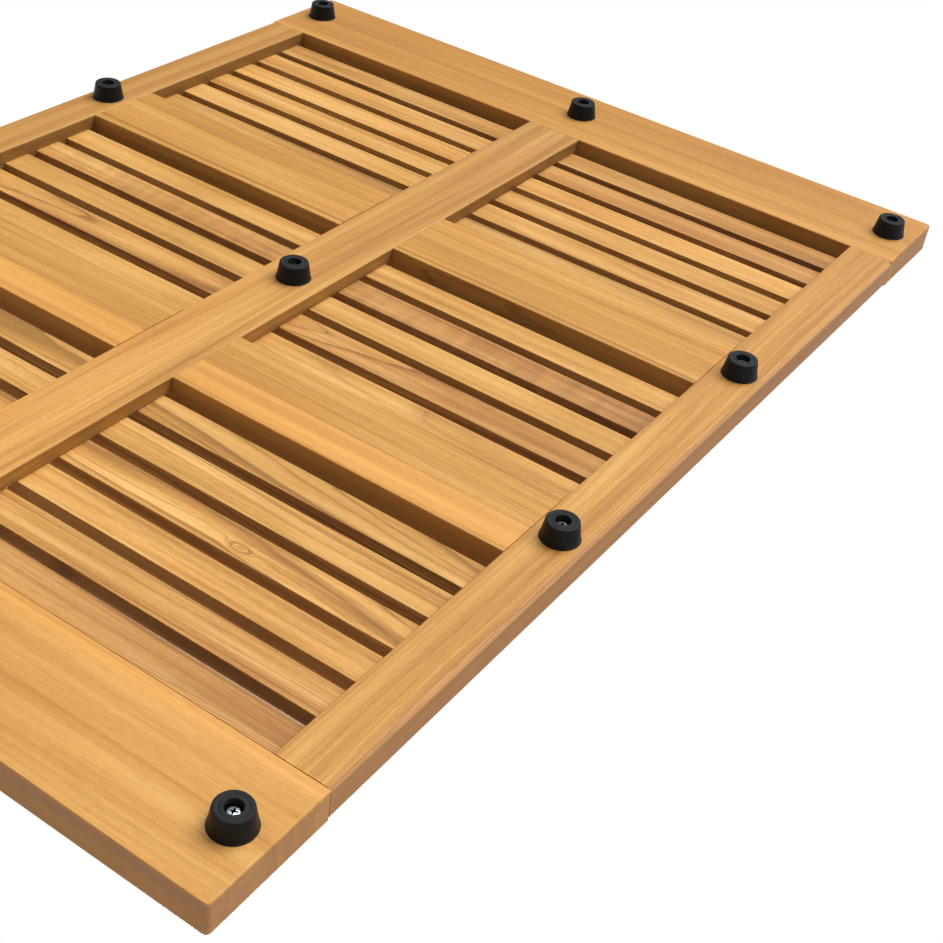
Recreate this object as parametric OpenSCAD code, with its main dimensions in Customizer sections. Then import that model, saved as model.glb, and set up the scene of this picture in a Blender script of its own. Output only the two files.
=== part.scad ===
// Slatted wooden bath mat on screwed rubber feet.
// The origin is at the centre of the mat, on the floor that its feet stand on.
// +X runs along the mat's length, +Y across it and +Z up, out of the walking side.
// The frame is two end boards, two side rails and two cross boards of full thickness.
// Thin slats lie flush with the walking side, over a middle rail let into the underside.

/* [Overall size] */
// Length of the mat
mat_length = 762; // [700:1:1000]
// Width of the mat
mat_width = 540; // [400:1:700]
// Thickness of the wooden frame, without the feet
frame_thickness = 19; // [17:0.5:26]

/* [Frame boards] */
// Width of each end board
end_board_width = 75; // [60:1:85]
// Width of each side rail
side_rail_width = 30.5; // [26:0.5:45]
// Width of each cross board
cross_board_width = 57.5; // [45:0.5:65]
// Width of the middle rail on the underside
mid_rail_width = 43; // [30:1:60]
// Radius of the mat's four upright corners
corner_radius = 2.5; // [2:0.5:12]
// Radius along the outer edges of the side rails
rail_edge_radius = 3; // [1:0.5:6]
// Bevel along the other edges of the boards
edge_bevel = 0.8; // [0.3:0.1:1.5]

/* [Slats] */
// Width of each slat
slat_width = 21; // [16:0.5:22]
// Thickness of each slat
slat_thickness = 10; // [7:0.5:11]
// Gap between a panel's outermost slat and the board beside it
panel_end_gap = 6.25; // [3:0.25:8]
// Bevel along the edges of the slats
slat_bevel = 0.6; // [0.2:0.1:1.2]

/* [Wood joints] */
// Length of the tenons on the side rails
rail_tenon_length = 28; // [15:1:35]
// Thickness of the tenons on the side rails and cross boards
frame_tenon_thickness = 7; // [5:0.5:9]
// Length of the tenons on the cross boards and the middle rail
board_tenon_length = 12; // [8:1:18]
// Thickness of the tenons on the middle rail
mid_tenon_thickness = 4; // [3:0.5:5]
// Length of the tenons on the slats
slat_tenon_length = 9; // [5:1:14]
// Thickness of the tenons on the slats
slat_tenon_thickness = 5; // [3:0.5:6]
// Shoulder on each side of a tenon's width
tenon_shoulder = 3; // [2:0.5:5]
// Glue gap between a tenon and its mortise, and between the rails and their notches
glue_gap = 0.1; // [0.05:0.05:0.3]

/* [Feet] */
// Height of each foot
foot_height = 11; // [8:0.5:15]
// Diameter of a foot where it meets the wood
foot_base_diameter = 22; // [18:0.5:26]
// Diameter of a foot where it meets the floor
foot_floor_diameter = 18; // [14:0.5:20]
// Radius of the rim at the floor
foot_rim_radius = 1.4; // [0.5:0.1:2]
// Diameter of the hole that takes the screw's head
foot_hole_diameter = 8.2; // [7.5:0.1:9]
// Thickness of rubber under the screw's head
foot_web = 5.5; // [2.5:0.5:6]
// Distance from the mat's end to the centres of its end feet
end_foot_inset = 35.5; // [30:0.5:45]
// Distance from the mat's side to the centres of its corner feet
corner_foot_inset = 18.5; // [15:0.5:30]

/* [Foot screws] */
// Diameter of a screw's pan head
screw_head_diameter = 7; // [6:0.1:7.3]
// Height of a screw's pan head
screw_head_height = 2.6; // [2:0.1:3]
// Diameter of a screw's shank
screw_shank_diameter = 3.5; // [3:0.1:4]
// Length of a screw under its head
screw_length = 12.5; // [11:0.5:13]
// Gap between a screw's shank and what it passes through
screw_gap = 0.1; // [0.05:0.05:0.25]
// Length of each of the two slots of the cross recess
recess_length = 3.9; // [3:0.1:4.5]
// Width of the slots of the cross recess
recess_width = 0.9; // [0.6:0.1:1.2]

/* [Brads] */
// Diameter of each brad
brad_diameter = 1.4; // [1:0.1:2]
// Length of each brad
brad_length = 14; // [12:0.5:15]
// Depth of a brad's end below the face of the middle rail
brad_sink = 0.1; // [0.05:0.05:0.5]

/* [Hidden] */
$fn = 64;
tiny = 0.01;
two_digits = 10;
slats_per_panel = [6, 5, 6];
slat_count = 17;
centre_slat = 9;
panel_count = 3;
wood = "#d9a157";
slat_wood = "#cf9450";
rubber = "#1d1d1f";
steel = "#b9bcc0";
arc_steps = 6;

underside_z = foot_height;
walking_z = foot_height + frame_thickness;
slat_z = walking_z - slat_thickness;
mid_rail_thickness = frame_thickness - slat_thickness;
rail_length = mat_length - 2 * end_board_width;
span_width = mat_width - 2 * side_rail_width;

boards_length = 2 * end_board_width + 2 * cross_board_width;
free_length = mat_length - boards_length - slat_count * slat_width - 2 * panel_count * panel_end_gap;
slat_gap = free_length / (slat_count - panel_count);
slat_pitch = slat_width + slat_gap;
function panel_length(n) = n * slat_width + (n - 1) * slat_gap + 2 * panel_end_gap;
centre_panel_length = panel_length(slats_per_panel[1]);
cross_board_x = (centre_panel_length + cross_board_width) / 2;
panel_start_x = [-mat_length / 2 + end_board_width, -centre_panel_length / 2, cross_board_x + cross_board_width / 2];

// The panel that slat i of 1 to slat_count belongs to, and its place in that panel from 0.
function panel_of(i) = i <= slats_per_panel[0] ? 0 : i <= slats_per_panel[0] + slats_per_panel[1] ? 1 : 2;
function place_in_panel(i) =
    i - 1 - (panel_of(i) > 0 ? slats_per_panel[0] : 0) - (panel_of(i) > 1 ? slats_per_panel[1] : 0);
function slat_x(i) = panel_start_x[panel_of(i)] + panel_end_gap + place_in_panel(i) * slat_pitch;
function slat_centre_x(i) = slat_x(i) + slat_width / 2;

end_foot_x = mat_length / 2 - end_foot_inset;
corner_foot_y = mat_width / 2 - corner_foot_inset;
rail_foot_y = (mat_width - side_rail_width) / 2;
foot_places = concat(
    [for (y = [-corner_foot_y, 0, corner_foot_y]) [-end_foot_x, y]],
    [for (x = [-cross_board_x, cross_board_x], y = [-rail_foot_y, rail_foot_y]) [x, y]],
    [[0, 0]],
    [for (y = [-corner_foot_y, 0, corner_foot_y]) [end_foot_x, y]]
);
foot_count = len(foot_places);
ledge_z = foot_height - foot_web;
screw_tip_z = ledge_z + screw_length;
screw_point = 2.5;
pilot_spare = 0.5;
pilot_depth = screw_tip_z - underside_z + pilot_spare;

brad_z = underside_z + brad_sink;
brad_slats = [for (i = [1 : slat_count]) if (i != centre_slat) i];

function number(i) = i < two_digits ? str("0", i) : str(i);
function slat_name(i) = str("slat_", number(i));
function foot_name(i) = str("foot_", number(i));

// Points along an arc round a centre, from one angle to another.
function arc(centre, radius, from, to) =
    [for (k = [0 : arc_steps]) let (a = from + (to - from) * k / arc_steps) centre + radius * [cos(a), sin(a)]];

// Cross-section of a bar with a bevel along its four edges.
function bevelled_section(width, height, bevel) = [
    [bevel, 0], [width - bevel, 0], [width, bevel], [width, height - bevel],
    [width - bevel, height], [bevel, height], [0, height - bevel], [0, bevel]
];

// Cross-section of a side rail: round along its outer edges, bevelled along its inner ones.
function rail_section() = concat(
    arc([rail_edge_radius, rail_edge_radius], rail_edge_radius, 270, 180),
    arc([rail_edge_radius, frame_thickness - rail_edge_radius], rail_edge_radius, 180, 90),
    [
        [side_rail_width - edge_bevel, frame_thickness], [side_rail_width, frame_thickness - edge_bevel],
        [side_rail_width, edge_bevel], [side_rail_width - edge_bevel, 0]
    ]
);

// A section in (Y, Z) drawn out along X, and one in (X, Z) drawn out along Y.
module along_x(length, section) { rotate([90, 0, 90]) linear_extrude(length) polygon(section); }
module along_y(length, section) { translate([0, length, 0]) rotate([90, 0, 0]) linear_extrude(length) polygon(section); }

// A box centred on a point in X, Y and Z.
module block(centre, size) { translate(centre - size / 2) cube(size); }

// Does the same on both sides of the mat's middle, in X or in Y.
module both_ends() { for (side = [0, 1]) mirror([side, 0, 0]) children(); }
module both_sides() { for (side = [0, 1]) mirror([0, side, 0]) children(); }

// Pilot hole for a foot's screw, up from the underside.
module pilot_holes() {
    for (place = foot_places)
        translate([place[0], place[1], underside_z - tiny])
            cylinder(d = screw_shank_diameter + 2 * screw_gap, h = pilot_depth + tiny);
}

// Hole for a brad, through the middle rail and into a slat.
module brad_holes(slats) {
    for (i = slats)
        translate([slat_centre_x(i), 0, underside_z - tiny])
            cylinder(d = brad_diameter + 2 * glue_gap, h = brad_sink + brad_length + glue_gap + tiny);
}

// Tenon on the left end of a rail along X, or with a gap its mortise.
module tenon_x(width, thickness, length, middle, gap = 0) {
    block(
        [-rail_length / 2 - length / 2, middle[0], middle[1]],
        [length + 2 * gap, width + 2 * gap, thickness + 2 * gap]
    );
}

// Tenon on the front end of a board along Y, or with a gap its mortise.
module tenon_y(width, thickness, length, middle, gap = 0) {
    block(
        [middle[0], -span_width / 2 - length / 2, middle[1]],
        [width + 2 * gap, length + 2 * gap, thickness + 2 * gap]
    );
}

module rail_tenon(gap = 0) {
    rail_tenon_width = side_rail_width - 2 * tenon_shoulder;
    rail_middle = [-(mat_width - side_rail_width) / 2, underside_z + frame_thickness / 2];
    tenon_x(rail_tenon_width, frame_tenon_thickness, rail_tenon_length, rail_middle, gap);
}

module mid_rail_tenon(gap = 0) {
    mid_tenon_width = mid_rail_width - 2 * tenon_shoulder;
    mid_middle = [0, underside_z + mid_rail_thickness / 2];
    tenon_x(mid_tenon_width, mid_tenon_thickness, board_tenon_length, mid_middle, gap);
}

module cross_board_tenon(gap = 0) {
    cross_tenon_width = cross_board_width - 2 * tenon_shoulder;
    cross_middle = [-cross_board_x, underside_z + frame_thickness / 2];
    tenon_y(cross_tenon_width, frame_tenon_thickness, board_tenon_length, cross_middle, gap);
}

module slat_tenon(i, gap = 0) {
    slat_tenon_width = slat_width - 2 * tenon_shoulder;
    slat_middle = [slat_centre_x(i), slat_z + slat_thickness / 2];
    tenon_y(slat_tenon_width, slat_tenon_thickness, slat_tenon_length, slat_middle, gap);
}

module end_board() {
    color(wood) difference() {
        translate([-mat_length / 2, -mat_width / 2, underside_z]) intersection() {
            along_x(end_board_width, bevelled_section(mat_width, frame_thickness, edge_bevel));
            along_y(mat_width, bevelled_section(end_board_width, frame_thickness, edge_bevel));
            linear_extrude(frame_thickness) end_board_outline();
        }
        both_sides() rail_tenon(glue_gap);
        mid_rail_tenon(glue_gap);
        pilot_holes();
    }
}

// Plan of an end board, with its two outer corners rounded.
module end_board_outline() {
    translate([corner_radius, 0]) square([end_board_width - corner_radius, mat_width]);
    translate([0, corner_radius]) square([end_board_width, mat_width - 2 * corner_radius]);
    for (y = [corner_radius, mat_width - corner_radius])
        translate([corner_radius, y]) circle(corner_radius);
}

module side_rail() {
    color(wood) difference() {
        union() {
            translate([-rail_length / 2, -mat_width / 2, underside_z]) along_x(rail_length, rail_section());
            both_ends() rail_tenon();
        }
        both_ends() cross_board_tenon(glue_gap);
        for (i = [1 : slat_count])
            slat_tenon(i, glue_gap);
        pilot_holes();
    }
}

module cross_board() {
    notch_size = [cross_board_width + 2 * tiny, mid_rail_width + 2 * glue_gap, mid_rail_thickness + tiny];
    notch_middle = [-cross_board_x, 0, underside_z + (mid_rail_thickness - tiny) / 2];
    color(wood) difference() {
        union() {
            translate([-cross_board_x - cross_board_width / 2, -span_width / 2, underside_z])
                along_y(span_width, bevelled_section(cross_board_width, frame_thickness, edge_bevel));
            both_sides() cross_board_tenon();
        }
        block(notch_middle, notch_size);
        pilot_holes();
    }
}

module mid_rail() {
    color(wood) difference() {
        union() {
            translate([-rail_length / 2, -mid_rail_width / 2, underside_z])
                along_x(rail_length, bevelled_section(mid_rail_width, mid_rail_thickness, edge_bevel));
            both_ends() mid_rail_tenon();
        }
        brad_holes(brad_slats);
        pilot_holes();
    }
}

module slat(i) {
    color(slat_wood) difference() {
        union() {
            translate([slat_x(i), -span_width / 2, slat_z])
                along_y(span_width, bevelled_section(slat_width, slat_thickness, slat_bevel));
            both_sides() slat_tenon(i);
        }
        brad_holes([for (other = brad_slats) if (other == i) other]);
    }
}

// Half section of a foot: a cone that narrows to the floor, with a round rim and a stepped hole.
function foot_section() =
    let (
        base = foot_base_diameter / 2,
        floor = foot_floor_diameter / 2,
        hole = foot_hole_diameter / 2,
        passage = screw_shank_diameter / 2 + screw_gap,
        lean = atan((base - floor) / foot_height),
        rim_centre = [floor - foot_rim_radius * (1 - sin(lean)) / cos(lean), foot_rim_radius]
    )
    concat(
        [[passage, foot_height], [passage, ledge_z], [hole, ledge_z], [hole, 0]],
        arc(rim_centre, foot_rim_radius, -90, -lean),
        [[base, foot_height]]
    );

module foot(place) {
    color(rubber) translate([place[0], place[1], 0]) rotate_extrude() polygon(foot_section());
}

// Half section of a pan head screw that points up, from its head to its tip.
function screw_section() =
    let (
        head = screw_head_diameter / 2,
        shank = screw_shank_diameter / 2,
        round = screw_head_height / 2,
        head_z = ledge_z - screw_head_height
    )
    concat(
        [[0, head_z]],
        arc([head - round, head_z + round], round, -90, 0),
        [[head, ledge_z], [shank, ledge_z], [shank, screw_tip_z - screw_point], [0, screw_tip_z]]
    );

module foot_screw() {
    recess_depth = screw_head_height / 2;
    recess_middle = [0, 0, ledge_z - screw_head_height + recess_depth / 2 - tiny];
    difference() {
        rotate_extrude() polygon(screw_section());
        block(recess_middle, [recess_length, recess_width, recess_depth]);
        block(recess_middle, [recess_width, recess_length, recess_depth]);
    }
}

module foot_screws() {
    color(steel)
        for (place = foot_places)
            translate([place[0], place[1], 0]) foot_screw();
}

module slat_brads() {
    color(steel)
        for (i = brad_slats)
            translate([slat_centre_x(i), 0, brad_z]) cylinder(d = brad_diameter, h = brad_length);
}

end_board();  // end_board_left
mirror([1, 0, 0]) end_board();  // end_board_right
side_rail();  // side_rail_front
mirror([0, 1, 0]) side_rail();  // side_rail_back
cross_board();  // cross_board_left
mirror([1, 0, 0]) cross_board();  // cross_board_right
mid_rail();
for (i = [1 : slat_count])
    slat(i);
for (i = [1 : foot_count])
    foot(foot_places[i - 1]);
foot_screws();
slat_brads();
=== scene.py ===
"""Looks of a slatted teak bath mat on rubber feet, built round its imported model.

The frame boards, cross boards, middle rail and slats are oiled teak, each sawn from its own
place in a log. Eleven black rubber feet are held by zinc plated pan head screws, and steel brads
go up through the middle rail into the slats. Everything is in metres, in the model's own frame:
the origin is on the floor under the middle of the mat, with X along it and Z up.
"""

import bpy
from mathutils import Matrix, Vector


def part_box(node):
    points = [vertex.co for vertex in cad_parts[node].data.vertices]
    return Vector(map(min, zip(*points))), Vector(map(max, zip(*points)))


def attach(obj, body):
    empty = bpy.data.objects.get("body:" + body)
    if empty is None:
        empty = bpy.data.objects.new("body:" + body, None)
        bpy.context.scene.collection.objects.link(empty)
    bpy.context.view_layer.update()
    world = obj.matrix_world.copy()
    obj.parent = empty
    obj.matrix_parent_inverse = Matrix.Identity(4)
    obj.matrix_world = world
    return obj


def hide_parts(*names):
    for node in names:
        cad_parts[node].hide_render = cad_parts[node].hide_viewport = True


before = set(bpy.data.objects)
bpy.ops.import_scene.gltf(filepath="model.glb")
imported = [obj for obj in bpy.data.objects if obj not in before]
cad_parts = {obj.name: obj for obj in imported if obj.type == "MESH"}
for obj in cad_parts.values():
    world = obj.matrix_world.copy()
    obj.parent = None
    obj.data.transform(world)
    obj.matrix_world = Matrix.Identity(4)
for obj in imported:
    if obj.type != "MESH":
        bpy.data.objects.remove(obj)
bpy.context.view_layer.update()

import logging
import math
import random
from dataclasses import dataclass
from enum import Enum
from typing import Any, Iterable

import bmesh
import bpy
from mathutils import Euler, Matrix, Vector

Tree, Node, Socket = bpy.types.NodeTree, bpy.types.Node, bpy.types.NodeSocket
Material = bpy.types.Material
Mesh, Vert, Edge, Face = bmesh.types.BMesh, bmesh.types.BMVert, bmesh.types.BMEdge, bmesh.types.BMFace
LOG = logging.getLogger("bath_mat")
MM = 0.001
UP = Vector((0.0, 0.0, 1.0))
BODY = "root"
SLAT_NODES = tuple(f"slat_{number:02d}" for number in range(1, 18))
UNNAILED_SLAT = "slat_09"
FOOT_NODES = tuple(f"foot_{number:02d}" for number in range(1, 12))
BOARD_FACTS = ("log", "shade", "figure", "knot", "place", "reach")
SAME_WAY = 0.999  # cosine past which two directions count as one
FACING = 0.7  # cosine past which a face counts as looking one way
SHARP = math.radians(35)
TOUCHING = 0.01 * MM
SLICE_TOLERANCE = 0.001 * MM
MERGE_DISTANCE = 0.002 * MM
ROUND_STEPS, EASE_STEPS, END_STEPS = 6, 3, 2
NO_KNOT = Vector((10.0, 10.0, 1.0))  # an offset so far from a knot that its rings never show


class Grain(Enum):
    """The direction in which a board's fibres run."""

    ALONG_X = 0
    ALONG_Y = 1


class Sawing(Enum):
    """How a board's face lies to the growth rings, as the turn of the ring pattern in degrees."""

    QUARTER = 90.0
    RIFT = 62.0
    PLAIN = 12.0


class Slot(Enum):
    """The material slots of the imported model."""

    FRAME_WOOD = "oiled_teak"
    SLAT_WOOD = "slat_teak"
    RUBBER = "black_rubber"
    SCREW = "zinc_steel"
    BRAD = "brad_steel"


def linear(colour: str) -> tuple[float, float, float, float]:
    """Turns an sRGB hex colour to linear red, green, blue and alpha.

    Args:
        colour: six hex digits after a hash sign.

    Returns:
        The linear colour with an alpha of one.
    """
    parts = [int(colour[at:at + 2], 16) / 255 for at in (1, 3, 5)]
    red, green, blue = (p / 12.92 if p <= 0.04045 else ((p + 0.055) / 1.055) ** 2.4 for p in parts)
    return red, green, blue, 1.0


def add_node(
    tree: Tree,
    kind: str,
    inputs: dict[Any, Any] | None = None,
    stops: Iterable[tuple[float, float | str]] = (),
    **settings: Any,
) -> Node:
    """Adds a node with its settings, colour stops and links.

    Args:
        tree: the node tree that takes the node.
        kind: the node's type, without its common prefix.
        inputs: a value for each socket name or number, or the node or socket that feeds it.
        stops: places and greys or hex colours of a colour ramp, in order.
        settings: the node's own properties.

    Returns:
        The new node.
    """
    node = tree.nodes.new("ShaderNode" + kind)
    for name, value in settings.items():
        setattr(node, name, value)
    stops = list(stops)
    if stops:
        ramp = node.color_ramp.elements
        ramp[0].position, ramp[-1].position = stops[0][0], stops[-1][0]
        for place, _ in stops[1:-1]:
            ramp.new(place)
        for element, (_, colour) in zip(ramp, stops):
            element.color = linear(colour) if isinstance(colour, str) else (colour, colour, colour, 1.0)
    for key, value in (inputs or {}).items():
        named = [s for s in node.inputs if s.enabled and s.name == key]
        socket = named[0] if named else node.inputs[key]
        if isinstance(value, Node):
            value = next(out for out in value.outputs if out.enabled)
        if isinstance(value, Socket):
            tree.links.new(value, socket)
        else:
            socket.default_value = value
    return node


def empty_tree(owner: Material | bpy.types.World) -> Tree:
    """Gives a material or the world an empty node tree.

    Args:
        owner: what takes the tree.

    Returns:
        The tree.
    """
    owner.use_nodes = True
    owner.node_tree.nodes.clear()
    return owner.node_tree


def layered(tree: Tree, start: Any, *layers: tuple[Any, Any]) -> Any:
    """Lays patterns over a value, each by its share.

    Args:
        tree: the node tree.
        start: the number, node or socket that the patterns are added to.
        layers: pairs of a pattern and its share.

    Returns:
        The node that holds the sum.
    """
    for pattern, share in layers:
        start = add_node(tree, "Math", {0: pattern, 1: share, 2: start}, operation="MULTIPLY_ADD")
    return start


def in_scene(name: str, data: Any) -> bpy.types.Object:
    """Makes an object of a mesh, light or camera and links it to the scene.

    Args:
        name: the object's name.
        data: what it shows.

    Returns:
        The object.
    """
    item = bpy.data.objects.new(name, data)
    bpy.context.scene.collection.objects.link(item)
    return item


def middle_of(node: str) -> Vector:
    """Returns the middle of a node's box."""
    return sum(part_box(node), Vector()) / 2


@dataclass(frozen=True)
class Teak:
    """Oiled teak, planed and sanded: golden brown, with fine dark lines, a satin sheen and open pores.

    It reads the boards' own attributes: log is the place in the trunk in metres, with the pith along
    its first axis, shade holds lightness, redness and the strength of the rings, where the lightness
    also carries painted shade on the flanks and painted light on the outer faces, figure holds ripple,
    streaks and olive tint, knot is the offset from a knot and the age at which it grew, and place
    and reach are the place in the board and the board's half size. The waves are counted per metre,
    along and across the fibres, and the stretches say how many times longer than wide a streak is.
    """

    name: str
    pale: str = "#e4ad5f"
    gold: str = "#cf9347"
    brown: str = "#a56a30"
    umber: str = "#6b3a12"
    rose: str = "#a5643a"
    olive: str = "#a98c46"
    body_places: tuple[float, float, float] = (0.3, 0.52, 0.8)
    ring_width: float = 3.4 * MM
    ring_line: tuple[tuple[float, float], ...] = (
        (0.0, 0.8), (0.05, 1.0), (0.14, 0.4), (0.4, 0.06), (0.9, 0.08), (1.0, 0.8)
    )
    faintest_line: float = 0.25
    uneven_scale: float = 0.45
    uneven_years: float = 3.0
    slow_wave: tuple[float, float, float] = (3.2, 16.0, 16.0)
    slow_bend: float = 22.0 * MM
    fast_wave: tuple[float, float, float] = (14.0, 90.0, 90.0)
    fast_bend: float = 2.2 * MM
    ripple_wave: tuple[float, float, float] = (115.0, 30.0, 30.0)
    knot_wobble: tuple[float, float, float] = (14.0 * MM, 9.0 * MM, 0.0)
    knot_shape: tuple[float, float, float] = (0.55, 1.0, 0.0)
    knot_growth: float = 2.4
    knot_blend: float = 7.0 * MM
    fibre_width: float = 1.1 * MM
    fibre_stretch: float = 160
    streak_width: float = 7.0 * MM
    streak_stretch: float = 45
    drift_width: float = 30.0 * MM
    drift_stretch: float = 7
    fleck_width: float = 1.3 * MM
    fleck_stretch: float = 4
    pore_width: float = 0.7 * MM
    pore_stretch: float = 26
    pore_limit: float = 0.66
    pore_crowding: float = 0.1
    pore_edge: float = 0.09
    fibre_share: float = 0.07
    streak_share: float = 0.34
    drift_share: float = 0.3
    fleck_share: float = 0.16
    year_share: float = 0.1
    line_share: float = 0.42
    rose_share: float = 1.5
    pore_share: float = 0.1
    wear_width: float = 1.6 * MM
    # lighter edges: partly sanded wear, partly a painted highlight along the eased edges
    wear_and_highlight_light: float = 0.1
    relief: float = 0.12 * MM
    pore_depth: float = 0.6
    line_depth: float = 0.35
    fibre_height: float = 0.9
    bump: float = 0.45
    roughness: float = 0.4
    streak_roughness: float = 0.16
    pore_roughness: float = 0.2
    wear_roughness: float = 0.08
    ior: float = 1.5
    specular: float = 0.32
    coat: float = 0.03
    coat_roughness: float = 0.35

    def build(self) -> Material:
        """Makes the material from its sizes and colours.

        Returns:
            The material.
        """
        material = bpy.data.materials.new(self.name)
        tree = empty_tree(material)
        facts = {
            name: add_node(tree, "Attribute", attribute_name=name).outputs["Vector"] for name in BOARD_FACTS
        }
        log = facts["log"]
        shade = add_node(tree, "SeparateXYZ", {0: facts["shade"]}).outputs
        figure = add_node(tree, "SeparateXYZ", {0: facts["figure"]}).outputs
        years, lines = self.rings(tree, log, facts["knot"])
        fibre = self.stretched(tree, log, self.fibre_width, self.fibre_stretch, 2.0)
        streak = self.stretched(tree, log, self.streak_width, self.streak_stretch, 2.0)
        drift = self.stretched(tree, log, self.drift_width, self.drift_stretch, 1.0)
        fleck = self.stretched(tree, log, self.fleck_width, self.fleck_stretch, 2.0)
        pores = self.pores(tree, log, lines)
        edge_wear_and_highlight = self.edge_wear_and_highlight(tree, facts["place"], facts["reach"], fibre)

        layers = (
            (fibre, self.fibre_share), (self.swung(tree, streak, figure["Y"], 0.5), self.streak_share),
            (drift, self.drift_share), (fleck, self.fleck_share), (years, self.year_share),
        )
        body = layered(tree, 0.5 * (1.0 - sum(share for _, share in layers)), *layers)
        stops = tuple(zip(self.body_places, (self.pale, self.gold, self.brown)))
        colour = add_node(tree, "ValToRGB", {0: body}, stops=stops)
        tints = (
            (lines, shade["Z"], self.line_share, self.umber),
            (streak, shade["Y"], self.rose_share, self.rose),
            (drift, figure["Z"], 1.0, self.olive),
            (pores, 1.0, self.pore_share, self.umber),
        )
        for pattern, strength, share, tint in tints:
            amount: Any = pattern
            for factor in (strength, share):
                amount = add_node(tree, "Math", {0: amount, 1: factor}, operation="MULTIPLY", use_clamp=True)
            mixed = {"Factor": amount, "A": colour, "B": linear(tint)}
            colour = add_node(tree, "Mix", mixed, data_type="RGBA")
        ripple = self.swung(tree, self.noise(tree, log, self.ripple_wave, 1.0), figure["X"], 1.0)
        # shade X is the board's tone; on flanks it holds painted shade, on outer faces painted light
        light = layered(tree, 1.0, (shade["X"], 1.0))
        light = add_node(tree, "Math", {0: ripple, 1: light}, operation="MULTIPLY")
        # the edges are lightened: sanded wear together with a painted highlight
        light = layered(tree, light, (edge_wear_and_highlight, self.wear_and_highlight_light))
        colour = add_node(tree, "VectorMath", {0: colour, "Scale": light}, operation="SCALE")

        height = layered(
            tree, 0.0, (pores, -self.pore_depth), (lines, -self.line_depth), (fibre, self.fibre_height)
        )
        bump = add_node(tree, "Bump", {"Strength": self.bump, "Distance": self.relief, "Height": height})
        rough = layered(
            tree, self.roughness, (streak, self.streak_roughness), (pores, self.pore_roughness),
            (edge_wear_and_highlight, self.wear_roughness),
        )
        shader = add_node(
            tree, "BsdfPrincipled",
            {"Base Color": colour, "Roughness": rough, "Normal": bump, "IOR": self.ior,
             "Specular IOR Level": self.specular, "Coat Weight": self.coat,
             "Coat Roughness": self.coat_roughness},
        )
        add_node(tree, "OutputMaterial", {"Surface": shader})
        return material

    @staticmethod
    def swung(tree: Tree, pattern: Node, strength: Any, middle: float) -> Node:
        """Swings a pattern about a middle value, as widely as its strength says."""
        level = add_node(tree, "Math", {0: pattern, 1: 0.5}, operation="SUBTRACT")
        return layered(tree, middle, (level, strength))

    @staticmethod
    def noise(
        tree: Tree, log: Socket, waves: tuple[float, float, float], detail: float,
        roughness: float = 0.5,
    ) -> Node:
        """Draws noise in the trunk, about a half on average, by its waves per metre along and across it."""
        place = add_node(tree, "VectorMath", {0: log, 1: waves}, operation="MULTIPLY")
        return add_node(
            tree, "TexNoise", {"Vector": place, "Scale": 1.0, "Detail": detail, "Roughness": roughness}
        )

    def stretched(
        self, tree: Tree, log: Socket, width: float, stretch: float, detail: float
    ) -> Node:
        """Draws noise in streaks along the fibres, of a width in metres."""
        return self.noise(tree, log, (1 / (width * stretch), 1 / width, 1 / width), detail, 0.55)

    def rings(
        self, tree: Tree, log: Socket, knot: Socket
    ) -> tuple[Node, Node]:
        """Draws the growth rings, bent round a knot where the board has one.

        Args:
            tree: the node tree.
            log: the place in the trunk.
            knot: the offset from the knot, and the age at which it grew.

        Returns:
            The tone of each year's wood, and the dark line where a year begins.
        """
        bent: Any = log
        bends = ((self.slow_wave, 1.0, self.slow_bend), (self.fast_wave, 2.0, self.fast_bend))
        for waves, detail, bend in bends:
            wobble = self.noise(tree, log, waves, detail).outputs["Color"]
            wobble = add_node(tree, "VectorMath", {0: wobble, 1: (0.5, 0.5, 0.5)}, operation="SUBTRACT")
            bent = add_node(
                tree, "VectorMath", {0: wobble, 1: (0.0, bend, bend), 2: bent}, operation="MULTIPLY_ADD"
            )
        across = add_node(tree, "VectorMath", {0: bent, 1: (0.0, 1.0, 1.0)}, operation="MULTIPLY")
        radius = add_node(tree, "VectorMath", {0: across}, operation="LENGTH").outputs["Value"]
        age = add_node(
            tree, "Math", {0: radius, 1: self.branch(tree, knot, wobble), 2: self.knot_blend},
            operation="SMOOTH_MIN",
        )
        years = add_node(tree, "Math", {0: age, 1: self.ring_width}, operation="DIVIDE")
        uneven = add_node(
            tree, "TexNoise", {"W": years, "Scale": self.uneven_scale, "Detail": 1.0}, noise_dimensions="1D"
        )
        years = layered(tree, years, (uneven, self.uneven_years))
        within, year = (add_node(tree, "Math", {0: years}, operation=part) for part in ("FRACT", "FLOOR"))
        tone = add_node(tree, "TexWhiteNoise", {"W": year}, noise_dimensions="1D")
        line = add_node(tree, "ValToRGB", {0: within}, stops=self.ring_line)
        strength = layered(tree, self.faintest_line, (tone, 1.0 - self.faintest_line))
        return tone, add_node(tree, "Math", {0: line, 1: strength}, operation="MULTIPLY")

    def branch(
        self, tree: Tree, knot: Socket, wobble: Node
    ) -> Node:
        """Gives the age of the wood of a branch, which the trunk's rings flow round.

        Args:
            tree: the node tree.
            knot: the offset from the knot, and the age at which it grew.
            wobble: a small shift that makes the knot uneven.

        Returns:
            The node whose value is compared with the distance from the pith.
        """
        flat = add_node(
            tree, "VectorMath", {0: wobble, 1: self.knot_wobble, 2: knot}, operation="MULTIPLY_ADD"
        )
        flat = add_node(tree, "VectorMath", {0: flat, 1: self.knot_shape}, operation="MULTIPLY")
        far = add_node(tree, "VectorMath", {0: flat}, operation="LENGTH").outputs["Value"]
        start = add_node(tree, "SeparateXYZ", {0: knot}).outputs["Z"]
        return layered(tree, start, (far, self.knot_growth))

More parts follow.
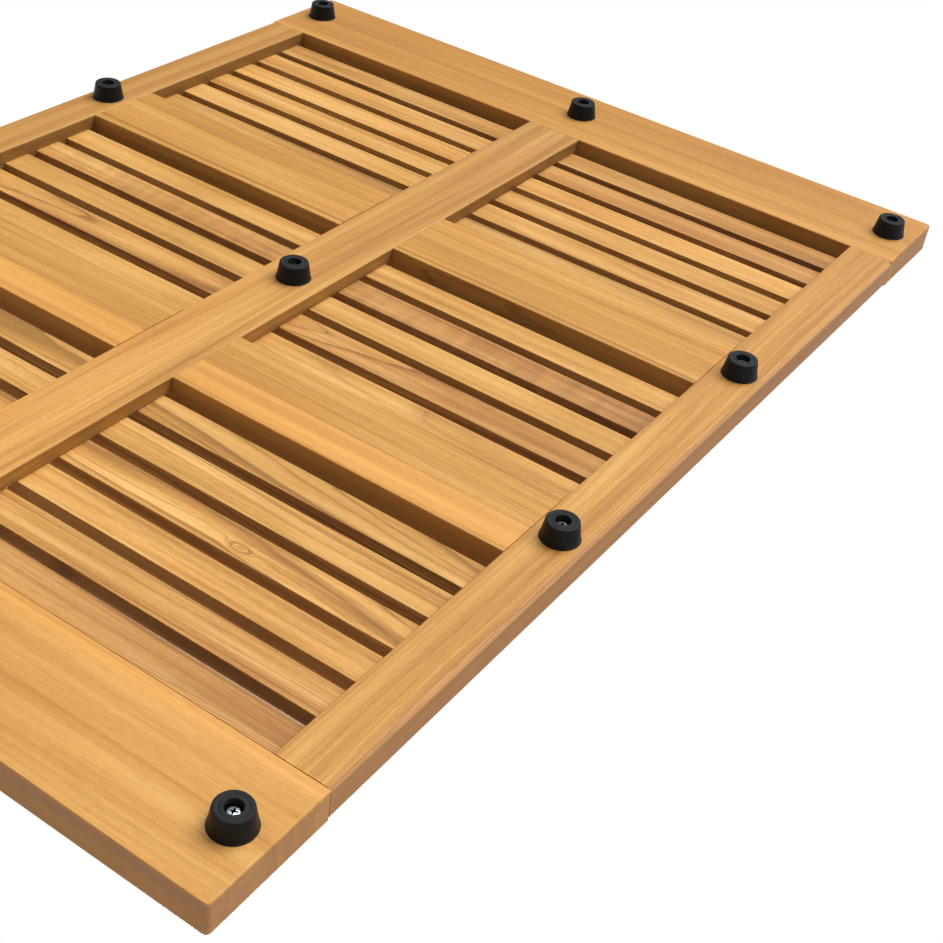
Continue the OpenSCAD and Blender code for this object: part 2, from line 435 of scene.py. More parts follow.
    def pores(
        self, tree: Tree, log: Socket, lines: Node
    ) -> Node:
        """Draws the open pores, short dark dashes. The real ones are a third as wide, too fine to show.

        Args:
            tree: the node tree.
            log: the place in the trunk.
            lines: the dark lines where the years begin, at which the pores crowd.

        Returns:
            A value that is one in a pore and nought elsewhere.
        """
        dash = self.stretched(tree, log, self.pore_width, self.pore_stretch, 0.0)
        low = layered(tree, self.pore_limit, (lines, -self.pore_crowding))
        high = layered(tree, self.pore_edge, (low, 1.0))
        return add_node(tree, "MapRange", {"Value": dash, "From Min": low, "From Max": high})

    def edge_wear_and_highlight(
        self, tree: Tree, place: Socket, reach: Socket,
        break_up: Node,
    ) -> Node:
        """Finds the board's sanded edges, which are where the second smallest of its three gaps is small.
        They are painted lighter, partly as wear and partly as a painted highlight, and made rougher as wear.

        Args:
            tree: the node tree.
            place: the place in the board.
            reach: the board's half size.
            break_up: noise that makes the worn line uneven.

        Returns:
            A value that is one along the edges and nought elsewhere.
        """
        far = add_node(tree, "VectorMath", {0: place}, operation="ABSOLUTE")
        gap = add_node(tree, "VectorMath", {0: reach, 1: far}, operation="SUBTRACT")
        x, y, z = add_node(tree, "SeparateXYZ", {0: gap}).outputs
        low = add_node(tree, "Math", {0: x, 1: y}, operation="MINIMUM")
        high = add_node(tree, "Math", {0: x, 1: y}, operation="MAXIMUM")
        rest = add_node(tree, "Math", {0: low, 1: z}, operation="MAXIMUM")
        middle = add_node(tree, "Math", {0: high, 1: rest}, operation="MINIMUM")
        limit = add_node(tree, "Math", {0: break_up, 1: 2 * self.wear_width}, operation="MULTIPLY")
        return add_node(tree, "MapRange", {"Value": middle, "From Max": limit, "To Min": 1.0, "To Max": 0.0})


@dataclass(frozen=True)
class Rubber:
    """Black moulded rubber: softly shiny on its sides, greyer and matt where it stands on the floor."""

    name: str = "moulded_black_rubber"
    black: str = "#0b0f14"
    scuffed: str = "#2a2c2b"
    dust_share: float = 0.16
    roughness: float = 0.42
    scuff_roughness: float = 0.4
    grit_roughness: float = 0.1
    grit: float = 0.5 * MM
    cloud: float = 5.0 * MM
    scuff_height: float = 0.9 * MM
    bump: float = 0.25
    relief: float = 0.05 * MM
    ior: float = 1.52
    specular: float = 0.2

    def build(self) -> Material:
        """Makes the material from its sizes and colours.

        Returns:
            The material.
        """
        material = bpy.data.materials.new(self.name)
        tree = empty_tree(material)
        where = add_node(tree, "TexCoord").outputs["Object"]
        height = add_node(tree, "SeparateXYZ", {0: where}).outputs["Z"]
        fine = add_node(tree, "TexNoise", {"Vector": where, "Scale": 1 / self.grit, "Detail": 2.0})
        cloud = add_node(tree, "TexNoise", {"Vector": where, "Scale": 1 / self.cloud, "Detail": 3.0})
        near = add_node(
            tree, "MapRange", {"Value": height, "From Max": self.scuff_height, "To Min": 1.0, "To Max": 0.0}
        )
        scuff = add_node(tree, "Math", {0: near, 1: cloud}, operation="MULTIPLY")
        dust = layered(tree, scuff, (cloud, self.dust_share))
        mixed = {"Factor": dust, "A": linear(self.black), "B": linear(self.scuffed)}
        colour = add_node(tree, "Mix", mixed, data_type="RGBA")
        rough = layered(tree, self.roughness, (scuff, self.scuff_roughness), (fine, self.grit_roughness))
        bump = add_node(tree, "Bump", {"Strength": self.bump, "Distance": self.relief, "Height": fine})
        shader = add_node(
            tree, "BsdfPrincipled",
            {"Base Color": colour, "Roughness": rough, "Normal": bump, "IOR": self.ior,
             "Specular IOR Level": self.specular},
        )
        add_node(tree, "OutputMaterial", {"Surface": shader})
        return material


@dataclass(frozen=True)
class PlatedSteel:
    """Steel with a bright zinc coat, or plain drawn wire: bright, cool and a little blotched."""

    name: str
    bright: str = "#eef2f6"
    dull: str = "#b4bdc4"
    roughness: float = 0.16
    blotch_roughness: float = 0.2
    blotch: float = 1.6 * MM
    scratches_per_blotch: float = 9
    bump: float = 0.2
    relief: float = 0.03 * MM

    def build(self) -> Material:
        """Makes the material from its sizes and colours.

        Returns:
            The material.
        """
        material = bpy.data.materials.new(self.name)
        tree = empty_tree(material)
        where = add_node(tree, "TexCoord").outputs["Object"]
        spots, scratch = (
            add_node(tree, "TexNoise", {"Vector": where, "Scale": count / self.blotch, "Detail": detail})
            for count, detail in ((1, 3.0), (self.scratches_per_blotch, 1.0))
        )
        colour = add_node(
            tree, "Mix", {"Factor": spots, "A": linear(self.bright), "B": linear(self.dull)}, data_type="RGBA"
        )
        rough = layered(tree, self.roughness, (spots, self.blotch_roughness))
        bump = add_node(tree, "Bump", {"Strength": self.bump, "Distance": self.relief, "Height": scratch})
        looks = {"Base Color": colour, "Metallic": 1.0, "Roughness": rough, "Normal": bump}
        shader = add_node(tree, "BsdfPrincipled", looks)
        add_node(tree, "OutputMaterial", {"Surface": shader})
        return material


@dataclass(frozen=True)
class PaleFloor:
    """Plain pale studio floor that glows white far off, as painted light, and shows from above only, not from
    below.
    """

    name: str = "pale_studio_floor"
    pale: str = "#cfcfcc"
    far_glow: str = "#ffffff"
    roughness: float = 0.8
    mottle_roughness: float = 0.1
    mottle: float = 0.2
    fade_start: float = 1.2
    fade_end: float = 5.0

    def build(self) -> Material:
        """Makes the material, which lets everything through from its underside.

        Returns:
            The material.
        """
        material = bpy.data.materials.new(self.name)
        tree = empty_tree(material)
        where = add_node(tree, "TexCoord").outputs["Object"]
        cloud = add_node(tree, "TexNoise", {"Vector": where, "Scale": 1 / self.mottle, "Detail": 2.0})
        rough = layered(tree, self.roughness, (cloud, self.mottle_roughness))
        matt = add_node(tree, "BsdfDiffuse", {"Color": linear(self.pale), "Roughness": rough})
        away = add_node(tree, "VectorMath", {0: where}, operation="LENGTH").outputs["Value"]
        away = add_node(
            tree, "MapRange", {"Value": away, "From Min": self.fade_start, "From Max": self.fade_end},
            interpolation_type="SMOOTHSTEP",
        )
        # far off the floor glows white: painted light over the shading that would darken it there
        far_glow = add_node(tree, "Emission", {"Color": linear(self.far_glow), "Strength": 1.0})
        top = add_node(tree, "MixShader", {0: away, 1: matt, 2: far_glow})
        under = add_node(tree, "NewGeometry").outputs["Backfacing"]
        both = add_node(tree, "MixShader", {0: under, 1: top, 2: add_node(tree, "BsdfTransparent")})
        add_node(tree, "OutputMaterial", {"Surface": both})
        return material


@dataclass(frozen=True)
class Knot:
    """A knot in a board, by its offset from the board's middle along and across the fibres."""

    along: float
    across: float
    depth: float = 8 * MM


@dataclass(frozen=True)
class Cut:
    """How a board was sawn, and how its colour runs from its low end to its high end.

    The light and red values are pairs, one for each end. The tilt is the slope of the fibres to the
    face, which draws the rings out into arches on a plain sawn board. The skew is how far out of line
    the board's ends are.
    """

    sawing: Sawing
    light: tuple[float, float] = (0.0, 0.0)
    red: tuple[float, float] = (0.0, 0.0)
    lines: float = 1.0
    ripple: float = 0.0
    streaks: float = 1.0
    olive: float = 0.0
    pith: float = 95 * MM
    tilt: float = 0.012
    skew: float = 0.0
    knot: Knot | None = None


@dataclass
class Board:
    """One piece of teak: a block with its edges eased, which knows its place in the log."""

    node: str
    low: Vector
    high: Vector
    grain: Grain
    cuts: tuple[Cut, ...]
    seams: tuple[float, ...] = ()
    ease: float = 0.8 * MM
    shoulder: float = 0.1 * MM
    corner_radius: float = 0.0
    rail_radius: float = 0.0
    notch: tuple[float, float] | None = None
    pieces_along: int = 10
    groove: float = 0.2 * MM
    corner_reach: float = 2.5 * MM
    # painted shade: the side faces of the slats and the frame's inner walls are darkened, as if the gaps and
    # recesses lay in shade
    flank_painted_shade: float = -0.32
    end_light: float = -0.22
    # painted light: the mat's outer faces are made lighter, as if lit by the white surroundings; outer_red is
    # their rosy tint
    outer_painted_light: float = 0.2
    outer_red: float = 0.8
    slope: float = 0.3
    turn_spread: float = 6.0
    log_start: tuple[float, float] = (1.0, 40.0)
    seed: int = 0

    @property
    def along(self) -> Vector:
        """Unit vector along the fibres."""
        return Vector((1.0, 0.0, 0.0)) if self.grain is Grain.ALONG_X else Vector((0.0, 1.0, 0.0))

    @property
    def across(self) -> Vector:
        """Unit vector across the board's face."""
        return Vector((0.0, 1.0, 0.0)) if self.grain is Grain.ALONG_X else Vector((1.0, 0.0, 0.0))

    @property
    def middle(self) -> Vector:
        """Middle of the board's box."""
        return (self.low + self.high) / 2

    @property
    def half(self) -> Vector:
        """Half the size of the board's box."""
        return (self.high - self.low) / 2

    @property
    def outer(self) -> float:
        """Place across the board of the side that faces out of the mat."""
        return max((end.dot(self.across) for end in (self.high, self.low)), key=abs)

    def block(self) -> Mesh:
        """Draws the board's side outline, with a notch where it has one, and draws it out across.

        Returns:
            The mesh, with all its edges sharp.
        """
        mesh = bmesh.new()
        if self.notch is None:
            place = Matrix.Translation(self.middle) @ Matrix.Diagonal((*(2 * self.half), 1.0))
            bmesh.ops.create_cube(mesh, size=1.0, matrix=place)
            return mesh
        width, top = self.notch
        low, high = self.low, self.high
        outline = (
            (low.y, low.z), (-width / 2, low.z), (-width / 2, top), (width / 2, top), (width / 2, low.z),
            (high.y, low.z), (high.y, high.z), (low.y, high.z),
        )
        corners = [mesh.verts.new((low.x, y, z)) for y, z in outline]
        side = [mesh.faces.new(corners)]
        grown = bmesh.ops.extrude_face_region(mesh, geom=side, use_keep_orig=True)["geom"]
        bmesh.ops.translate(
            mesh, verts=[v for v in grown if isinstance(v, Vert)], vec=(high.x - low.x, 0.0, 0.0)
        )
        bmesh.ops.recalc_face_normals(mesh, faces=mesh.faces)
        return mesh

    @staticmethod
    def edges_on(
        mesh: Mesh, *sides: tuple[Vector, float], direction: Vector | None = None
    ) -> list[Edge]:
        """Finds the edges that lie on all of the sides given.

        Args:
            mesh: the board.
            sides: pairs of a unit vector and the distance along it at which a side lies.
            direction: unit vector along the edges; without it, edges where faces meet at an angle.

        Returns:
            The edges.
        """
        found = []
        for edge in mesh.edges:
            span = edge.verts[1].co - edge.verts[0].co
            if direction is None:
                fits = edge.calc_face_angle(0.0) > SHARP
            else:
                fits = abs(span.normalized().dot(direction)) >= SAME_WAY
            gaps = (abs(vert.co.dot(way) - at) for vert in edge.verts for way, at in sides)
            if fits and all(gap < TOUCHING for gap in gaps):
                found.append(edge)
        return found

    @staticmethod
    def ease_edges(mesh: Mesh, edges: list[Edge], radius: float, steps: int) -> None:
        """Rounds edges over by a radius, in a number of steps."""
        if edges:
            bmesh.ops.bevel(
                mesh, geom=edges, offset=radius, offset_type="OFFSET", segments=steps, profile=0.5,
                affect="EDGES", material=-1, clamp_overlap=True,
            )

    def shape(self) -> Mesh:
        """Makes the block and eases its edges: the rounded ones first, then the long ones and the ends.

        The ends are eased like the other edges where they are free, and hardly at all at a shoulder.

        Returns:
            The mesh.
        """
        mesh = self.block()
        ends, faces, flanks = (
            [(way, end.dot(way)) for end in (self.low, self.high)] for way in (self.along, UP, self.across)
        )
        outer = (self.across, self.outer)
        if self.corner_radius:
            for end in ends:
                corner = self.edges_on(mesh, outer, end, direction=UP)
                self.ease_edges(mesh, corner, self.corner_radius, ROUND_STEPS)
            rims = [edge for face in faces for edge in self.edges_on(mesh, face)]
            self.ease_edges(mesh, rims, self.ease, EASE_STEPS)
        for flank in flanks:
            rounded = self.rail_radius and flank[1] == self.outer
            radius, steps = (self.rail_radius, ROUND_STEPS) if rounded else (self.ease, EASE_STEPS)
            for face in faces:
                self.ease_edges(mesh, self.edges_on(mesh, flank, face, direction=self.along), radius, steps)
        shoulders = [edge for end in ends for edge in self.edges_on(mesh, end)]
        self.ease_edges(mesh, shoulders, self.ease if self.corner_radius else self.shoulder, END_STEPS)
        return mesh

    def slice_up(self, mesh: Mesh) -> None:
        """Cuts the faces across the fibres and along the glue seams, so that colour can change there.

        Args:
            mesh: the board, which also gets its grooves along the seams and its skew.
        """
        start, end = self.low.dot(self.along), self.high.dot(self.along)
        step = (end - start) / self.pieces_along
        planes = [(self.along, start + step * i) for i in range(1, self.pieces_along)]
        sides = (-self.groove, 0.0, self.groove)
        planes += [(self.across, at + side) for at in self.seams for side in sides]
        for way, at in planes:
            bmesh.ops.bisect_plane(
                mesh, geom=[*mesh.verts, *mesh.edges, *mesh.faces], plane_co=way * at, plane_no=way,
                dist=SLICE_TOLERANCE,
            )
        for vert in mesh.verts:
            if any(abs(vert.co.dot(self.across) - at) < TOUCHING for at in self.seams):
                vert.co.z += self.groove * (1.0 if vert.co.z < self.middle.z else -1.0)
        skew = Matrix.Identity(4)
        if self.grain is Grain.ALONG_Y:
            skew[0][1] = self.cuts[0].skew / self.half.y
        bmesh.ops.transform(mesh, matrix=skew, verts=mesh.verts)

    def log_place(self, cut: Cut, dice: random.Random) -> Matrix:
        """Works out where a strip of the board was in its log.

        Args:
            cut: how the strip was sawn.
            dice: seeded random numbers, which pick the part of the log.

        Returns:
            The matrix from the mat's frame to the log, whose pith runs along its first axis.
        """
        frame_to_board = Matrix((self.along, self.across, UP)).to_4x4() @ Matrix.Translation(-self.middle)
        tilt = Matrix.Identity(4)
        tilt[1][0] = dice.uniform(-self.slope, self.slope) * cut.tilt
        tilt[2][0] = cut.tilt * dice.choice((-1, 1))
        lie = cut.sawing.value + dice.uniform(-self.turn_spread, self.turn_spread)
        turn = Matrix.Rotation(math.radians(lie), 4, "X")
        shift = Vector((dice.uniform(*self.log_start), 0.0, 0.0))
        away = turn @ Vector((0.0, 0.0, cut.pith))
        return Matrix.Translation(shift) @ tilt @ Matrix.Translation((0.0, away.y, away.z)) @ frame_to_board

    def strip_of(self, face: Face) -> int:
        """Returns which glued strip a face belongs to."""
        at = face.calc_center_median().dot(self.across)
        return sum(at > seam for seam in self.seams)

    def tone(self, face: Face) -> tuple[float, float]:
        """Works out how a face differs from the board's upper and lower faces.

        The mat's outer faces are rosy and painted lighter, as painted light from the white surroundings;
        end grain drinks more oil; and the flanks, the walls of the gaps and recesses, are painted darker
        as painted shade.

        Args:
            face: the face.

        Returns:
            How much lighter and how much redder it is.
        """
        on_end, on_flank = (abs(face.normal.dot(way)) > FACING for way in (self.along, self.across))
        at_rim = abs(face.calc_center_median().dot(self.across) - self.outer) < self.corner_reach
        on_outside = (at_rim and (self.corner_radius or self.rail_radius)) or (on_end and self.corner_radius)
        # outer faces: rosy, and painted lighter as painted light from the white surroundings
        if on_outside and abs(face.normal.z) <= FACING:
            return self.outer_painted_light, self.outer_red
        # flanks get painted shade; end grain is darker from the oil it drinks
        return (self.end_light if on_end else self.flank_painted_shade if on_flank else 0.0), 0.0

    def paint(self, mesh: Mesh) -> None:
        """Writes the attributes that the teak reads onto every corner of every face.

        Args:
            mesh: the board.
        """
        layers = {name: mesh.loops.layers.float_vector.new(name) for name in BOARD_FACTS}
        dice = random.Random(self.seed)
        logs = [self.log_place(cut, dice) for cut in self.cuts]
        start, end = self.low.dot(self.along), self.high.dot(self.along)
        for face in mesh.faces:
            strip = self.strip_of(face)
            cut, to_log = self.cuts[strip], logs[strip]
            lighter, redder = self.tone(face)
            for loop in face.loops:
                spot = loop.vert.co
                share = (spot.dot(self.along) - start) / (end - start)
                light, red = (low + (high - low) * share for low, high in (cut.light, cut.red))
                facts = (
                    to_log @ spot, (light + lighter, red + redder, cut.lines),
                    (cut.ripple, cut.streaks, cut.olive), self.from_knot(cut, to_log, spot),
                    spot - self.middle, self.half,
                )
                for name, fact in zip(BOARD_FACTS, facts):
                    loop[layers[name]] = fact

    def from_knot(self, cut: Cut, to_log: Matrix, spot: Vector) -> Vector:
        """Works out where a spot lies from its strip's knot.

        Args:
            cut: how the strip was sawn, and where its knot is.
            to_log: the matrix from the mat's frame to the log.
            spot: the place in the mat.

        Returns:
            The offset along and across the board, and the age at which the branch left the trunk.
        """
        if cut.knot is None:
            return NO_KNOT
        core = self.middle + self.along * cut.knot.along + self.across * cut.knot.across
        in_log = to_log @ Vector((core.x, core.y, self.low.z))
        offset = spot - core
        age = math.hypot(in_log.y, in_log.z) - cut.knot.depth
        return Vector((offset.dot(self.along), offset.dot(self.across), age))

    def build(self, material: Material, slot: Slot) -> bpy.types.Object:
        """Makes the board, dresses it in teak and puts it in the place of its node.

        Args:
            material: the teak.
            slot: the slot that the board's finish is repainted by; it is not used.

        Returns:
            The finished piece.
        """
        mesh = self.shape()
        self.slice_up(mesh)
        self.paint(mesh)
        mesh.normal_update()
        for face in mesh.faces:
            face.smooth = max(abs(share) for share in face.normal) < SAME_WAY
        return finish_piece(f"{self.node}_teak", mesh, material, [self.node])


def finish_piece(
    name: str, mesh: Mesh, material: Material, nodes: list[str]
) -> bpy.types.Object:
    """Turns a finished mesh into a piece that stands for its nodes.

    Args:
        name: the piece's name.
        mesh: the mesh, with its place in it; it is freed here.
        material: the piece's finish.
        nodes: the nodes that the piece stands for.

    Returns:
        The piece.
    """
    data = bpy.data.meshes.new(name)
    mesh.to_mesh(data)
    mesh.free()
    data.materials.append(material)
    piece = in_scene(name, data)
    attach(piece, BODY)
    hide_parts(*nodes)
    LOG.info("%s: %d faces, stands for %s", name, len(data.polygons), ", ".join(nodes))
    return piece


def spun(outline: Iterable[tuple[float, float]], steps: int, closed: bool) -> Mesh:
    """Turns an outline about the upright axis.

    Args:
        outline: distances from the axis and heights, in metres.
        steps: how many steps a full turn has.
        closed: whether the outline's last point joins its first.

    Returns:
        The turned mesh, with its normals outwards.
    """
    mesh = bmesh.new()
    points = [mesh.verts.new((radius, 0.0, height)) for radius, height in outline]
    pairs = list(zip(points, points[1:])) + ([(points[-1], points[0])] if closed else [])
    edges = [mesh.edges.new(pair) for pair in pairs]
    bmesh.ops.spin(
        mesh, geom=[*points, *edges], cent=(0.0, 0.0, 0.0), axis=UP, angle=math.tau, steps=steps,
        use_merge=True, use_duplicate=False,
    )
    bmesh.ops.remove_doubles(mesh, verts=mesh.verts, dist=MERGE_DISTANCE)
    bmesh.ops.recalc_face_normals(mesh, faces=mesh.faces)
    return mesh


def soften(mesh: Mesh) -> None:
    """Shades a turned piece smooth, except over its sharp edges.

    Args:
        mesh: the piece.
    """
    for face in mesh.faces:
        face.smooth = True
    for edge in mesh.edges:
        edge.smooth = edge.calc_face_angle(0.0) < SHARP


def copies(master: Mesh, places: Iterable[tuple[Vector, float]]) -> Mesh:
    """Puts copies of a shape in their places.

    Args:
        master: the shape, upright at the origin; it is freed here.
        places: where each copy goes, and its turn about the upright axis in radians.

    Returns:
        The mesh of all the copies.
    """
    shape = bpy.data.meshes.new("master_shape")
    master.to_mesh(shape)
    master.free()
    mesh = bmesh.new()
    for place, turn in places:
        before = len(mesh.verts)
        mesh.from_mesh(shape)
        mesh.verts.ensure_lookup_table()
        added = mesh.verts[before:]
        bmesh.ops.rotate(mesh, verts=added, cent=(0.0, 0.0, 0.0), matrix=Matrix.Rotation(turn, 3, "Z"))
        bmesh.ops.translate(mesh, verts=added, vec=place)
    bpy.data.meshes.remove(shape)
    return mesh


@dataclass
class Feet:
    """Eleven rubber feet: cones that narrow to the floor, with a rounded rim, a lip and a stepped hole."""

    floor_ring: float = 9.0 * MM
    hole: float = 4.1 * MM
    passage: float = 1.85 * MM
    web: float = 5.5 * MM
    rim: float = 1.0 * MM
    hole_ease: float = 0.45 * MM
    seat_ease: float = 0.4 * MM
    passage_ease: float = 0.2 * MM
    ring_groove: tuple[tuple[float, float], ...] = (
        (6.0 * MM, 0.0), (6.15 * MM, 0.1 * MM), (6.35 * MM, 0.1 * MM), (6.5 * MM, 0.0)
    )
    lip_height: float = 0.7 * MM
    lip_step: float = 0.22 * MM
    lip_ease: float = 0.12 * MM
    base_band: float = 0.1 * MM
    steps: int = 64

    def outline(self, base: float, height: float) -> list[tuple[float, float]]:
        """Draws half of a foot's section, from its passage round to its base.

        Args:
            base: radius where the foot meets the wood.
            height: height of the foot.

        Returns:
            Distances from the axis and heights.
        """
        lean = (base - self.floor_ring) / height
        ledge = height - self.web
        ease = self.hole_ease
        quarter = [math.radians(a) for a in (0, 22.5, 45, 67.5, 90)]
        mouth = [(self.hole + ease - ease * math.cos(a), ease - ease * math.sin(a)) for a in quarter]
        rim_x = self.floor_ring - self.rim
        rim = [(rim_x + self.rim * math.sin(a), self.rim - self.rim * math.cos(a)) for a in quarter]
        lip = height - self.lip_height
        wall = self.floor_ring + lean * lip
        return [
            (self.passage, height), (self.passage, ledge + self.passage_ease),
            (self.passage + self.passage_ease, ledge), (self.hole - self.seat_ease, ledge),
            (self.hole, ledge - self.seat_ease), *mouth, *self.ring_groove, *rim, (wall - self.lip_step, lip),
            (wall, lip + self.lip_ease), (base, height - self.base_band), (base, height),
        ]

    def build(self, material: Material) -> None:
        """Makes each foot where its node is.

        Args:
            material: the rubber.
        """
        for node in FOOT_NODES:
            low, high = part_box(node)
            mesh = spun(self.outline((high.x - low.x) / 2, high.z - low.z), self.steps, closed=True)
            soften(mesh)
            middle = middle_of(node)
            bmesh.ops.translate(mesh, verts=mesh.verts, vec=(middle.x, middle.y, low.z))
            finish_piece(f"{node}_rubber", mesh, material, [node])


@dataclass
class FootScrews:
    """Pan head screws with a cross recess, one up through each foot into the wood."""

    head: float = 3.5 * MM
    head_height: float = 2.6 * MM
    dome_share: float = 0.55
    recess: float = 2.0 * MM
    recess_depth: float = 1.3 * MM
    recess_ring: float = 1.12
    heart_share: float = 0.62
    arm_share: float = 0.45
    floor_share: float = 0.7
    shank: float = 1.75 * MM
    core: float = 1.35 * MM
    tip: tuple[tuple[float, float], ...] = ((0.15 * MM, 12.4 * MM), (0.005 * MM, 12.5 * MM))
    shank_end: float = 9.5 * MM
    core_start: float = 10.0 * MM
    steps: int = 24
    seed: int = 5

    def recess_cross(self, mesh: Mesh) -> list[Edge]:
        """Presses a cross up into the plane of the head's face.

        Args:
            mesh: the empty mesh that takes the cross.

        Returns:
            The edges round the mouth of the recess.
        """
        size = Matrix.Diagonal((self.recess, self.recess, 1.0, 1.0))
        bmesh.ops.create_grid(mesh, x_segments=3, y_segments=3, size=1.0, matrix=size)
        third = self.recess / 3
        corners = [f for f in mesh.faces if all(abs(c) > third for c in f.calc_center_median().xy)]
        bmesh.ops.delete(mesh, geom=corners, context="FACES")
        inner = [v for v in mesh.verts if max(abs(v.co.x), abs(v.co.y)) < 1.2 * third]
        bmesh.ops.scale(mesh, verts=inner, vec=(self.heart_share, self.heart_share, 1.0))
        for vert in mesh.verts:
            if vert not in inner:
                thin = 1 if abs(vert.co.x) > abs(vert.co.y) else 0
                vert.co[thin] *= self.arm_share
        bmesh.ops.subdivide_edges(
            mesh, edges=[e for e in mesh.edges if e.is_boundary], cuts=1, use_grid_fill=False
        )
        rim = [e for e in mesh.edges if e.is_boundary]
        floor = list({v for f in mesh.faces for v in f.verts})
        walls = bmesh.ops.extrude_edge_only(mesh, edges=rim)["geom"]
        bmesh.ops.scale(mesh, verts=floor, vec=(self.floor_share, self.floor_share, 1.0))
        bmesh.ops.translate(mesh, verts=floor, vec=(0.0, 0.0, self.recess_depth))
        return [e for e in walls if isinstance(e, Edge)]

    def screw(self) -> Mesh:
        """Makes a screw that points up from the origin: a cross pressed into a domed head, then the shank.

        Returns:
            The mesh.
        """
        mesh = bmesh.new()
        mouth = self.recess_cross(mesh)
        spread, level = self.recess * self.recess_ring, 0.0
        ring = bmesh.ops.create_circle(mesh, segments=self.steps, radius=spread)["verts"]
        ring_edges = [e for e in mesh.edges if e.verts[0] in ring and e.verts[1] in ring]
        bmesh.ops.bridge_loops(mesh, edges=mouth + ring_edges)
        for radius, height in self.side_outline():
            grown = bmesh.ops.extrude_edge_only(mesh, edges=ring_edges)["geom"]
            verts = [v for v in grown if isinstance(v, Vert)]
            ring_edges = [e for e in grown if isinstance(e, Edge)]
            bmesh.ops.scale(mesh, verts=verts, vec=(radius / spread, radius / spread, 1.0))
            bmesh.ops.translate(mesh, verts=verts, vec=(0.0, 0.0, height - level))
            level, spread = height, radius
        bmesh.ops.remove_doubles(mesh, verts=mesh.verts, dist=TOUCHING)
        bmesh.ops.recalc_face_normals(mesh, faces=mesh.faces)
        return mesh

    def side_outline(self) -> list[tuple[float, float]]:
        """Draws the screw's side from the face of its head to its point.

        Returns:
            Radii and heights.
        """
        inner = self.recess * self.recess_ring
        under = self.head_height
        dome = [
            (inner + (self.head - inner) * math.sin(a), self.dome_share * under * (1 - math.cos(a)))
            for a in (math.radians(turn) for turn in (15, 30, 45, 60, 75, 90))
        ]
        below = ((self.shank, 0.0), (self.shank, self.shank_end), (self.core, self.core_start), *self.tip)
        return [*dome, (self.head, under), *((radius, under + height) for radius, height in below)]

    def build(self, material: Material) -> None:
        """Puts a screw up through every foot.

        Args:
            material: the zinc plated steel.
        """
        screw = self.screw()
        soften(screw)
        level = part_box("foot_screws")[0].z
        dice = random.Random(self.seed)
        places = [
            (Vector((*middle_of(node).xy, level)), dice.uniform(0.0, math.pi / 2)) for node in FOOT_NODES
        ]
        finish_piece("foot_screws_zinc", copies(screw, places), material, ["foot_screws"])


@dataclass
class SlatBrads:
    """Steel wire brads up through the middle rail, with bright slightly domed ends."""

    radius: float = 0.7 * MM
    proud: float = 0.03 * MM
    dome: float = 0.05 * MM
    steps: int = 20

    def build(self, material: Material) -> None:
        """Puts a brad into every slat that has one.

        Args:
            material: the drawn wire.
        """
        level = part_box("mid_rail")[0].z - self.proud
        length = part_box("slat_brads")[1].z - level
        outline = [
            (0.0, 0.0), (0.6 * self.radius, 0.2 * self.dome), (0.9 * self.radius, self.dome),
            (self.radius, 3 * self.dome), (self.radius, length - self.radius), (0.0, length),
        ]
        brad = spun(outline, self.steps, closed=False)
        for face in brad.faces:
            face.smooth = True
        row = middle_of("slat_brads").y
        nailed = [node for node in SLAT_NODES if node != UNNAILED_SLAT]
        places = [(Vector((middle_of(node).x, row, level)), 0.0) for node in nailed]
        finish_piece("slat_brads_steel", copies(brad, places), material, ["slat_brads"])


@dataclass
class OuterFrame:
    """The two end boards and the two side rails that are tenoned into them."""

    corner_radius: float = 2.5 * MM
    rail_radius: float = 3.0 * MM
    edge_strip: float = 10.0 * MM
    glue_line: float = 0.06 * MM
    board_cut: Cut = Cut(Sawing.QUARTER, light=(-0.08, -0.06), lines=0.35, streaks=0.9, pith=120 * MM)
    far_cut: Cut = Cut(Sawing.QUARTER, light=(-0.19, -0.16), lines=0.35, streaks=0.9, pith=120 * MM)
    strip_cut: Cut = Cut(Sawing.QUARTER, light=(0.07, 0.07), lines=0.4, pith=140 * MM)
    far_strip_cut: Cut = Cut(Sawing.QUARTER, light=(-0.07, -0.07), lines=0.4, pith=140 * MM)
    rail_cuts: tuple[Cut, Cut] = (
        Cut(Sawing.RIFT, light=(-0.2, -0.22), red=(0.05, 0.1), lines=0.7, streaks=1.4),
        Cut(
            Sawing.RIFT, light=(-0.09, -0.13), red=(0.05, 0.1), lines=0.9, streaks=2.1, pith=70 * MM, tilt=0.02
        ),
    )

    def build(self, teak: Material) -> None:
        """Makes the four boards, each between the faces of its neighbours.

        Args:
            teak: the boards' finish.
        """
        left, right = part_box("end_board_left"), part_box("end_board_right")
        ends = (
            ("end_board_left", left, left[1].x - self.edge_strip, (self.board_cut, self.strip_cut), 11),
            ("end_board_right", right, right[0].x + self.edge_strip, (self.far_strip_cut, self.far_cut), 12),
        )
        for node, box, seam, cuts, seed in ends:
            Board(
                node, *box, Grain.ALONG_Y, cuts, seams=(seam,), corner_radius=self.corner_radius,
                groove=self.glue_line, seed=seed,
            ).build(teak, Slot.FRAME_WOOD)
        for node, cut, seed in zip(("side_rail_front", "side_rail_back"), self.rail_cuts, (13, 14)):
            low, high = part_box(node)
            low.x, high.x = left[1].x, right[0].x
            Board(
                node, low, high, Grain.ALONG_X, (cut,), rail_radius=self.rail_radius, pieces_along=14,
                seed=seed,
            ).build(teak, Slot.FRAME_WOOD)


